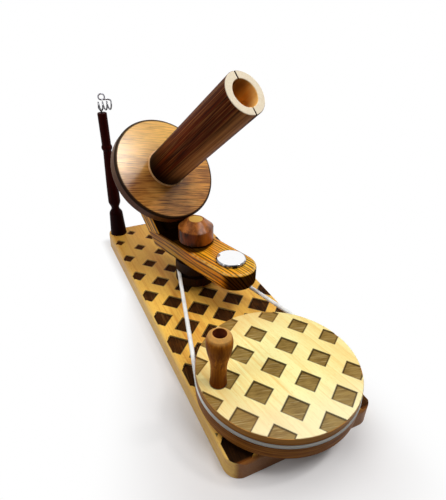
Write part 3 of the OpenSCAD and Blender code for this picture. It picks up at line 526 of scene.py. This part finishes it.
# Tube: dark, darker towards the flange, with a painted sheen along one side, a raw mouth, and a bore with
# painted shadow on its upper side
SHEEN_WAY = (0.37, 0.93)
BORE_EDGE = (13.2, 12.4)
tube_length = (tube_top - flange_top) / MM
g, p, colour = plain_wood(
    "tube_wood", flange_middle, tube_frame, early=lin(122, 44, 7), late=lin(15, 3, 0), pith=(60, 0), ring=9.0,
    rough=0.5, coat=0.03, coat_rough=0.3, shine=0.02,
    ring_mix=0.45, wobble=3.0, fibre=0.8, fibre_fine=0.7, pores=0.5, tone=0.35)
px, py, pz = g.parts(p)
radius = g.radius(py, pz)
streak = g.remap(g.grain(p, 0.010, 0.42, 3.0, 0.65), 0.40, 0.60)
colour = g.mix(streak, g.mix(0.75, colour, lin(20, 4, 0)), colour)
upper = g.remap(px, tube_length - 75.0, tube_length - 25.0, 0.0, 0.45, smooth=True)
colour = g.mix(upper, colour, lin(22, 5, 0))
gilt = g.remap(g.grain(p, 0.012, 1.0, 2.0, 0.6), 0.50, 0.66)
colour = g.mix(g.mul(gilt, 0.75), colour, lin(150, 96, 50))
# painted sheen: a pale strip along one side, in the streaks
painted_sheen = g.div(g.add(g.mul(py, SHEEN_WAY[0]), g.mul(pz, SHEEN_WAY[1])), radius)
painted_sheen = g.mul(g.remap(painted_sheen, 0.86, 1.0, smooth=True), g.remap(streak, 0.0, 1.0, 0.4, 0.9))
colour = g.mix(painted_sheen, colour, lin(186, 128, 80))
# darker towards the flange
foot = g.remap(px, 4, 44, smooth=True)
colour = g.mix(foot, g.mix(0.95, colour, lin(6, 1, 0)), colour)
bore_shaded = g.mix(g.grain(p, 0.03, 0.5), lin(252, 176, 82), lin(255, 214, 132))
# painted shadow on the upper side of the bore
bore_shaded = g.mix(g.remap(pz, -3.0, -10.5, 0.0, 0.75, smooth=True), bore_shaded, lin(74, 28, 8))
colour = g.mix(g.remap(radius, *BORE_EDGE), colour, bore_shaded)
raw = g.mix(g.noise(p, 0.9, 3.0), lin(252, 244, 224), lin(232, 208, 170))
g.shade(Base_Color=g.mix(g.remap(px, tube_length - 0.5, tube_length - 0.1), colour, raw))
paint("bobbin_tube", g)

# Knob: dark and mottled, with painted shade on its side below the shoulder and a painted reflection, a warm
# patch, on the side of the counterweight
REFLECTION_WAY = (0.985, 0.106)
KNOB_SHOULDER = (15.6, 13.0)
g, p, colour = plain_wood(
    "knob_wood", rotor_pos, knob_frame, early=lin(196, 116, 50), late=lin(40, 7, 0), pith=(30, 8), ring=14.0,
    rough=0.26, coat=0.26, coat_rough=0.2, shine=0.06,
    ring_mix=0.3, wobble=6.0, fibre=0.7, fibre_fine=0.9, pores=0.25, tone=0.9)
px, py, pz = g.parts(p)
knob_low = (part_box("friction_knob")[0].z - rotor_pos.z) / MM
# painted shade: the side below the shoulder is darker than the cone
side = g.remap(px, *(knob_low + h for h in KNOB_SHOULDER), smooth=True)
mottle = g.remap(g.grain(p, 0.07, 0.17), 0.42, 0.60)
colour = g.mix(g.mul(mottle, 0.6), colour, lin(84, 30, 6))
# painted reflection: a warm patch on the side towards the counterweight
gilt = g.div(g.add(g.mul(py, REFLECTION_WAY[0]), g.mul(pz, REFLECTION_WAY[1])), g.radius(py, pz))
gilt = g.remap(gilt, 0.80, 0.97, 0.0, 0.6, smooth=True)
shaded = g.mix(gilt, g.mix(mottle, lin(92, 26, 4), lin(22, 3, 0)), lin(216, 122, 36))
g.shade(Base_Color=g.mix(g.mul(side, 0.80), colour, shaded), Coat_Weight=g.remap(side, 0.0, 1.0, 0.25, 0.06))
paint("friction_knob", g)

# Post: near-black red wood, darker towards its foot
post_low, post_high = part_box("guide_post")
post_foot = Vector(((post_low.x + post_high.x) / 2, (post_low.y + post_high.y) / 2, base_top))
g, p, colour = plain_wood(
    "post_wood", post_foot, upright_frame, early=lin(50, 6, 2), late=lin(10, 1, 0), pith=(14, 3), ring=6.0,
    rough=0.42, shine=0.03, ring_mix=0.6, wobble=2.0, fibre=0.5, fibre_fine=1.1, pores=0.4, tone=0.25)
low = g.remap(g.parts(p)[0], 80.0, 10.0, 0.0, 0.7, smooth=True)
g.shade(Base_Color=g.mix(low, colour, lin(7, 0, 0)))
paint("guide_post", g)

# Handle: tan beech, mottled by use, with a dark foot and a pale brim
HOLE_R = 5.0
handle_high = (top_of("crank_handle") - wheel_top) / MM
g, p, colour = plain_wood(
    "handle_wood", Vector((handle_pos.x, handle_pos.y, wheel_top)), upright_frame, early=lin(204, 124, 32),
    late=lin(92, 34, 0), pith=(18, 4), ring=7.0, rough=0.46, shine=0.04,
    ring_mix=0.35, wobble=2.0, fibre=0.75, fibre_fine=1.3, pores=0.6, tone=0.35)
px, py, pz = g.parts(p)
radius = g.radius(py, pz)
smudge = g.remap(g.grain(p, 0.07, 0.26, 3.0, 0.6), 0.40, 0.62)
colour = g.mix(g.mul(smudge, 0.6), colour, lin(92, 34, 4))
colour = g.mix(g.remap(px, 24.0, 3.0, 0.0, 0.75, smooth=True), colour, lin(66, 16, 0))
smear = g.mul(g.remap(px, handle_high - 19.0, handle_high - 11.0, smooth=True),
              g.remap(px, handle_high - 4.0, handle_high - 7.0, smooth=True))
colour = g.mix(g.mul(smear, 0.45), colour, lin(84, 30, 0))
brim = g.mul(g.remap(px, handle_high - 5.0, handle_high - 1.0, smooth=True),
             g.remap(radius, HOLE_R, HOLE_R + 0.2))
colour = g.mix(g.mul(brim, 0.65), colour, lin(220, 170, 98))
hollow = g.mul(g.remap(radius, HOLE_R + 0.15, HOLE_R + 0.02), g.remap(px, handle_high - 15, handle_high - 14))
bored = g.mix(g.noise(p, 0.4), lin(140, 66, 34), lin(88, 38, 20))
g.shade(Base_Color=g.mix(hollow, colour, bored))
paint("crank_handle", g)

# Small turned parts: dark pulley and collar, pale plug and ring
DARK = dict(ring=5.0, ring_mix=0.6, wobble=2.0, fibre=0.4, fibre_fine=0.9, pores=0.3, tone=0.2)
PALE = dict(wobble=1.0, fibre=0.3, fibre_fine=1.6, pores=0.3, tone=0.15)
g = plain_wood("pulley_wood", rotor_pos, knob_frame, early=lin(40, 18, 8), late=lin(12, 5, 2),
               pith=(30, 8), rough=0.42, shine=0.1, **DARK)[0]
paint("rotor_pulley", g)
g = plain_wood("collar_wood", bobbin_pos, tube_frame, early=lin(110, 64, 34), late=lin(48, 22, 10),
               pith=(20, 4), rough=0.4, **DARK)[0]
paint("spindle_collar", g)
g = plain_wood("pale_plug", rotor_pos, arm_frame, early=lin(255, 208, 102), late=lin(228, 152, 58),
               pith=(5, -30), ring=3.4, ring_mix=0.5, rough=0.4, coat=0.1, **PALE)[0]
paint("knob_plug", g)
g = plain_wood("pale_ring", bobbin_pos, tube_frame, early=lin(226, 178, 122), late=lin(170, 112, 62),
               pith=(25, 0), ring=4.0, ring_mix=0.4, rough=0.4, **PALE)[0]
paint("tube_ring", g)
paint("hub_plug", g)


# ---------------------------------------------------------------- metal and belt
def metal(name, colour, rough, lined=0.12, dulled=0.86):
    """Turned or polished metal, with fine lines and a little dullness that varies.
    Gives the graph and the tint."""
    g = Graph(name)
    p = g.place((0, 0, 0))
    lines = g.grain(p, 0.05, 6.0)
    tint = g.mix(g.noise(p, 0.18), colour, darker(colour, dulled))
    g.shade(Metallic=1.0, Base_Color=tint, Roughness=g.add(g.mul(lines, lined), rough))
    g.bump(lines, strength=0.06, distance=0.05)
    return g, tint


# Counterweight: bright, with a painted reflection: a dark, patchy line round its edge
g, tint = metal("chrome", (0.98, 0.98, 0.98), 0.02, lined=0.03, dulled=0.96)
cap_low, cap_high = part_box("counterweight")
cap_radius = (cap_high.x - cap_low.x) / 2 / MM
x, y = g.parts(g.place(((cap_low.x + cap_high.x) / 2, (cap_low.y + cap_high.y) / 2, 0)))[:2]
# painted reflection of dark surroundings round the edge
reflection_band = g.remap(g.radius(x, y), cap_radius - 1.5, cap_radius - 0.7, smooth=True)
reflection_gaps = g.remap(g.noise(g.join(x, y, 0.0), 0.16, 1.0), 0.40, 0.52)
g.shade(Base_Color=g.mix(reflection_band, tint, g.mix(reflection_gaps, (0.02, 0.02, 0.02), (0.34, 0.34, 0.35))))
paint("counterweight", g)

# Wire guide: dark bright steel, with its last curl paler as a painted reflection
CURL_SHEEN_FROM = (178.0, 182.0)
wire_steel, tint = metal("wire_steel", (0.20, 0.20, 0.21), 0.12)
height = wire_steel.parts(wire_steel.place((0, 0, 0)))[2]
wire_steel.shade(Base_Color=wire_steel.mix(wire_steel.remap(height, *CURL_SHEEN_FROM), tint, (0.36, 0.35, 0.39)))

# Fittings
for name, colour, rough, fittings in (
        ("turned_steel", (0.58, 0.58, 0.60), 0.22,
         ("rotor_shaft", "shaft_nut", "knob_nut", "wheel_axle", "handle_pin", "bobbin_spindle", "spindle_nut",
          "thrust_washer", "spindle_lock")),
        ("bronze", (0.62, 0.42, 0.20), 0.28,
         ("wheel_bush", "lower_bush", "upper_bush", "flange_bush", "hub_bush")),
        ("dark_steel", (0.20, 0.19, 0.19), 0.38,
         ("axle_clip", "pulley_screws", "bracket_screws", "handle_washer"))):
    g = metal(name, colour, rough)[0]
    for fitting in fittings:
        paint(fitting, g)

# Belt: white, with random soiling, and painted shade where it runs round the near half of the crank wheel
g = Graph("belt_white")
p = g.place((0, 0, 0))
soil = g.remap(g.noise(p, 0.09, 3.0), 0.45, 0.75)
y = g.parts(g.place(wheel_floor))[1]
# painted shade on the belt round the near half of the wheel, over the soiling
soil_and_shade = g.most(g.mul(soil, 0.35), g.remap(y, 10.0, -30.0, 0.0, 0.9, smooth=True))
g.shade(Base_Color=g.mix(soil_and_shade, lin(246, 246, 242), lin(148, 145, 137)),
        Roughness=g.remap(g.noise(p, 0.6), 0.3, 0.7, 0.3, 0.48),
        Subsurface_Weight=0.25, Subsurface_Radius=(0.002, 0.0018, 0.0015))
g.bump(g.noise(p, 1.4), strength=0.05, distance=0.1)
paint("drive_belt", g)


# ---------------------------------------------------------------- the wire guide, as a smooth round wire
# Sizes in millimetres and degrees, as the CAD model has them
WIRE_D, COIL_R, COIL_PITCH, COIL_TURNS, COIL_BACK, CURL_R = 1.7, 4.2, 4.6, 3, 2.8, 3.2
POST_OUT, POST_AHEAD, POST_H, POST_LEAN, BASE_T, WIRE_ROOT = 50.3, 165.0, 150.0, 1.5, 18.0, 14.0
CURL_X, CURL_Y, CURL_SHIFT, CURL_SWEEP = 2.4, COIL_R + 1.6, WIRE_D + 0.9, 330
COIL_Z = POST_H + COIL_R + WIRE_D / 2 + 0.8
CURL_Z = COIL_Z + COIL_R + WIRE_D + 0.6 + CURL_R
# Points of the line and corners of its section
ROOT_POINTS, BEND_POINTS, TURN_POINTS, WIRE_SIDES = 4, 20, 48, 16
# A rounded end: width and height of each ring, in radii
ROUND_END = [(0.97, 0.26), (0.87, 0.5), (0.6, 0.8), (0.2, 0.98)]


def wire_points():
    """The CAD wire's own centre line in closer steps: a root, a bend, a coil along X, a link and a curl."""
    line = [Vector((0, 0, POST_H - WIRE_ROOT + WIRE_ROOT * i / ROOT_POINTS)) for i in range(ROOT_POINTS)]
    for i in range(BEND_POINTS):
        t = i / BEND_POINTS
        line.append(Vector((-COIL_BACK * (1 - math.cos(math.pi * t)) / 2, 0, POST_H + (COIL_Z - POST_H) * t)))
    step = 360 / TURN_POINTS
    sweep = 360 * COIL_TURNS + 90
    for i in range(int(sweep / step) + 1):
        a = math.radians(i * step)
        line.append(Vector((COIL_PITCH * i * step / 360 - COIL_BACK, COIL_R - COIL_R * math.cos(a),
                            COIL_Z + COIL_R * math.sin(a))))
    end = Vector((COIL_PITCH * sweep / 360 - COIL_BACK, COIL_R, COIL_Z + COIL_R))
    start = Vector((CURL_X, CURL_Y, CURL_Z - CURL_R))
    out, back = end + Vector((0.8, 5, 0.4)), start + Vector((9, 0, 0))
    for i in range(1, TURN_POINTS // 2 + 1):
        t = i / (TURN_POINTS // 2)
        line.append((1 - t) ** 3 * end + 3 * (1 - t) ** 2 * t * out
                    + 3 * (1 - t) * t * t * back + t ** 3 * start)
    for i in range(1, int(CURL_SWEEP / step) + 1):
        a = math.radians(i * step)
        line.append(Vector((CURL_X - CURL_R * math.sin(a), CURL_Y - CURL_SHIFT * i * step / 360,
                            CURL_Z - CURL_R * math.cos(a))))
    lean = Matrix.Rotation(math.radians(-POST_LEAN), 3, "Y")
    return [(lean @ q + Vector((-POST_OUT, POST_AHEAD, BASE_T))) * MM for q in line]


def wire_mesh(name, line, radius):
    """A round wire along a line of points, with a rounded far end, as a new object."""
    last = len(line) - 1
    tangents = [(line[min(i + 1, last)] - line[max(i - 1, 0)]).normalized() for i in range(len(line))]
    normal = tangents[0].orthogonal().normalized()
    rings = []
    for q, t in zip(line, tangents):
        normal = (normal - t * normal.dot(t)).normalized()
        rings.append((q, t, normal.copy(), radius))
    q, t, n, r = rings[-1]
    rings += [(q + t * r * height, t, n, r * width) for width, height in ROUND_END]
    verts, faces = [], []
    angles = [2 * math.pi * s / WIRE_SIDES for s in range(WIRE_SIDES)]
    for q, t, n, r in rings:
        b = t.cross(n)
        verts += [q + r * (n * math.cos(a) + b * math.sin(a)) for a in angles]
    for i in range(0, (len(rings) - 1) * WIRE_SIDES, WIRE_SIDES):
        for s in range(WIRE_SIDES):
            s2 = (s + 1) % WIRE_SIDES
            faces.append((i + s, i + s2, i + WIRE_SIDES + s2, i + WIRE_SIDES + s))
    faces.append(tuple(range(WIRE_SIDES - 1, -1, -1)))
    faces.append(tuple(range(len(verts) - WIRE_SIDES, len(verts))))
    mesh = bpy.data.meshes.new(name)
    mesh.from_pydata(verts, [], faces)
    mesh.polygons.foreach_set("use_smooth", [True] * len(mesh.polygons))
    mesh.update()
    obj = bpy.data.objects.new(name, mesh)
    scene.collection.objects.link(obj)
    return obj


wire = wire_mesh("guide_wire", wire_points(), WIRE_D / 2 * MM)
wire.data.materials.append(wire_steel.mat)
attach(wire, "base")
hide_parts("wire_guide")


# ---------------------------------------------------------------- floor
FLOOR_HALF, FLOOR_DROP = 30.0, 0.0002
FLOOR_LIFT, FLOOR_BOUNCE, FLOOR_DIM = 0.02, 0.60, 0.12
AMBIENT, DIM_LEVEL = 0.20, 0.06
# low down on the crank's side, less light comes back to the object
DIM_WAY = tuple(Vector((-0.42, -0.86, 0.12)).normalized())
mesh = bpy.data.meshes.new("floor")
mesh.from_pydata([(sx * FLOOR_HALF, sy * FLOOR_HALF, 0) for sx, sy in ((-1, -1), (1, -1), (1, 1), (-1, 1))],
                 [], [(0, 1, 2, 3)])
floor = bpy.data.objects.new("floor", mesh)
floor.location.z = -FLOOR_DROP
scene.collection.objects.link(floor)

g = Graph("floor_white")
p = g.place((0, 0, 0))
x, y = g.parts(p)[:2]
# the camera, and anything that mirrors it, sees a white floor with the object's shadow, which fades to
# plain white: at once on the right, slowly at the near end
past_side = g.most(g.sub(g.math("ABSOLUTE", x), base_side), 0.0)
past_side = g.mul(past_side, g.remap(x, 0.0, 20.0, 1.0, 2.4))
past_end = g.most(g.sub(g.math("ABSOLUTE", y), base_far), 0.0)
reach = g.remap(y, base_near, 60.0, 105.0, 12.0)
near = g.remap(g.div(g.radius(past_side, past_end), reach), 0.0, 1.0, 1.0, 0.0, smooth=True)
near = g.mul(near, g.remap(y, -140.0, 60.0, 1.0, 0.45), g.remap(x, 25.0, 90.0, 1.0, 0.2, smooth=True))
tone = g.mix(g.noise(p, 0.02, 3.0), (0.72, 0.70, 0.695), (0.76, 0.74, 0.735))
lit = g.node("AddShader", {0: g.node("BsdfDiffuse", {"Color": tone}),
                           1: g.node("Emission", {"Strength": FLOOR_LIFT})})
shown = g.node("MixShader", {0: near, 1: g.node("Emission", {}), 2: lit})
# for the light that it throws back on the object it is a plain grey-white sheet
ahead = g.add(g.mul(x, DIM_WAY[0]), g.mul(y, DIM_WAY[1]))
sheet = g.node("BsdfDiffuse", {"Color": g.remap(ahead, -50.0, 300.0, FLOOR_BOUNCE, FLOOR_DIM)})
path = g.make("LightPath", {}).outputs
seen = g.most(g.most(path["Is Camera Ray"], path["Is Glossy Ray"]), path["Is Transmission Ray"])
g.put(g.end.inputs["Surface"], g.node("MixShader", {0: seen, 1: sheet, 2: shown}))
g.tree.nodes.remove(g.bsdf)
mesh.materials.append(g.mat)

# ---------------------------------------------------------------- light and camera
# The world is white to the camera. It lights the object dimly, and least from DIM_WAY.
world = bpy.data.worlds.new("studio")
scene.world = world
world.use_nodes = True
w = Nodes(world.node_tree)
path = w.make("LightPath", {}).outputs
dim = w.remap(w.dot(w.node("TexCoord", {}, "Generated"), DIM_WAY), 0.0, 0.6, 1.0, DIM_LEVEL, smooth=True)
mirrored = w.most(path["Is Glossy Ray"], path["Is Transmission Ray"])
level = w.mul(w.remap(mirrored, 0.0, 1.0, AMBIENT, 1.0), dim)
level = w.most(level, path["Is Camera Ray"])
back = w.node("Background", {"Color": (1, 1, 1), "Strength": level})
w.make("OutputWorld", {"Surface": back})


def softbox(name, direction, distance, size, power, target=(0, 0, 0.08)):
    """A square or oblong lamp that faces a target from this direction."""
    light = bpy.data.lights.new(name, "AREA")
    light.shape = "RECTANGLE"
    light.size, light.size_y = size
    light.energy = power
    obj = bpy.data.objects.new(name, light)
    d = Vector(direction).normalized()
    obj.location = Vector(target) + d * distance
    obj.rotation_euler = d.to_track_quat("Z", "Y").to_euler()
    scene.collection.objects.link(obj)


softbox("key", direction=(0.22, -0.36, 0.91), distance=1.5, size=(0.50, 0.50), power=9.0)
softbox("top", direction=(-0.15, 0.20, 0.97), distance=1.5, size=(0.9, 0.9), power=6.5)
softbox("left", direction=(-0.78, -0.20, 0.59), distance=1.4, size=(0.6, 0.6), power=5.0)
softbox("right", direction=(0.90, 0.30, 0.32), distance=1.4, size=(0.5, 0.5), power=1.6,
        target=(0, 0.05, 0.15))
softbox("glint", direction=(0.545, -0.265, 0.795), distance=1.5, size=(0.13, 0.20), power=4.2,
        target=(-0.04, 0.07, 0.13))

# The camera as fitted to the squares of board and wheel
PHOTO_HEIGHT, FOCAL_PIXELS, SENSOR = 500, 433.11, 36.0
CAMERA_AT = (-0.1475, -0.3236, 0.2900)
view_right = Vector((0.90014504, -0.4346679, 0.02833229))
view_up = Vector((0.204976, 0.480076, 0.852942))
view_ahead = Vector((0.38434834, 0.76196436, -0.52123571))
lens = bpy.data.cameras.new("camera")
lens.sensor_width = SENSOR
lens.lens = FOCAL_PIXELS / PHOTO_HEIGHT * SENSOR
camera = bpy.data.objects.new("camera", lens)
camera.matrix_world = Matrix.Translation(CAMERA_AT) @ frame_matrix(view_right, view_up, -view_ahead).to_4x4()
scene.collection.objects.link(camera)
scene.camera = camera
scene.view_settings.view_transform = "Standard"
